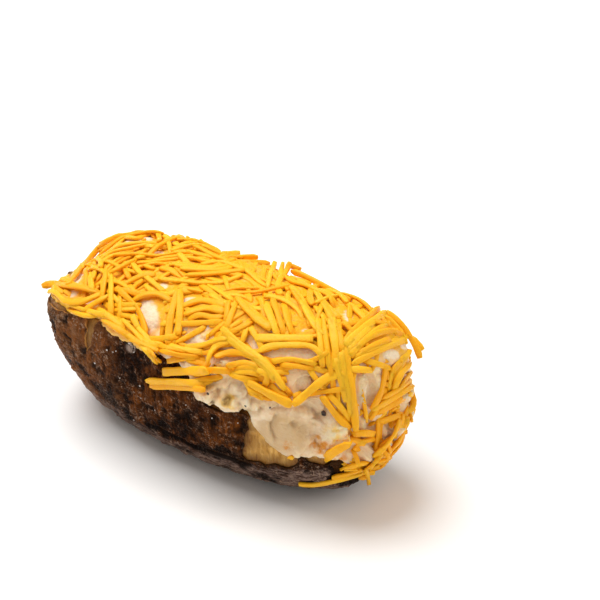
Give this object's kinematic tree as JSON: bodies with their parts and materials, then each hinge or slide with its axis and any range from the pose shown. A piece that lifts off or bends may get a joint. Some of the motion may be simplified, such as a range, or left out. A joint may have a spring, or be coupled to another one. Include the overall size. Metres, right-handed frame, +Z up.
{
  "type": "loaded baked potato",
  "caption": "Baked potato in its skin, split and torn at one side, filled and heaped with mashed potato and covered with shredded cheese.",
  "frame": {"origin": "on the floor under the middle of the potato's box", "axes": "+X along the potato towards its torn end, +Z up, -Y towards the side where the skin is split and torn"},
  "size_m": [0.1218, 0.057, 0.0603],
  "materials": {
    "skin": "dark brown baked potato skin, dry and wrinkled, with grey flaky patches and a few salt glints",
    "flesh": "yellow-brown baked potato flesh, moist and fibrous",
    "mash": "pale cream mashed potato, smooth to crumbly, softly translucent",
    "cheese": "orange-yellow shredded cheddar, waxy with a soft sheen"
  },
  "bodies": {
    "root": {"shell": "skin", "filling": "cheese"}
  },
  "joints": []
}
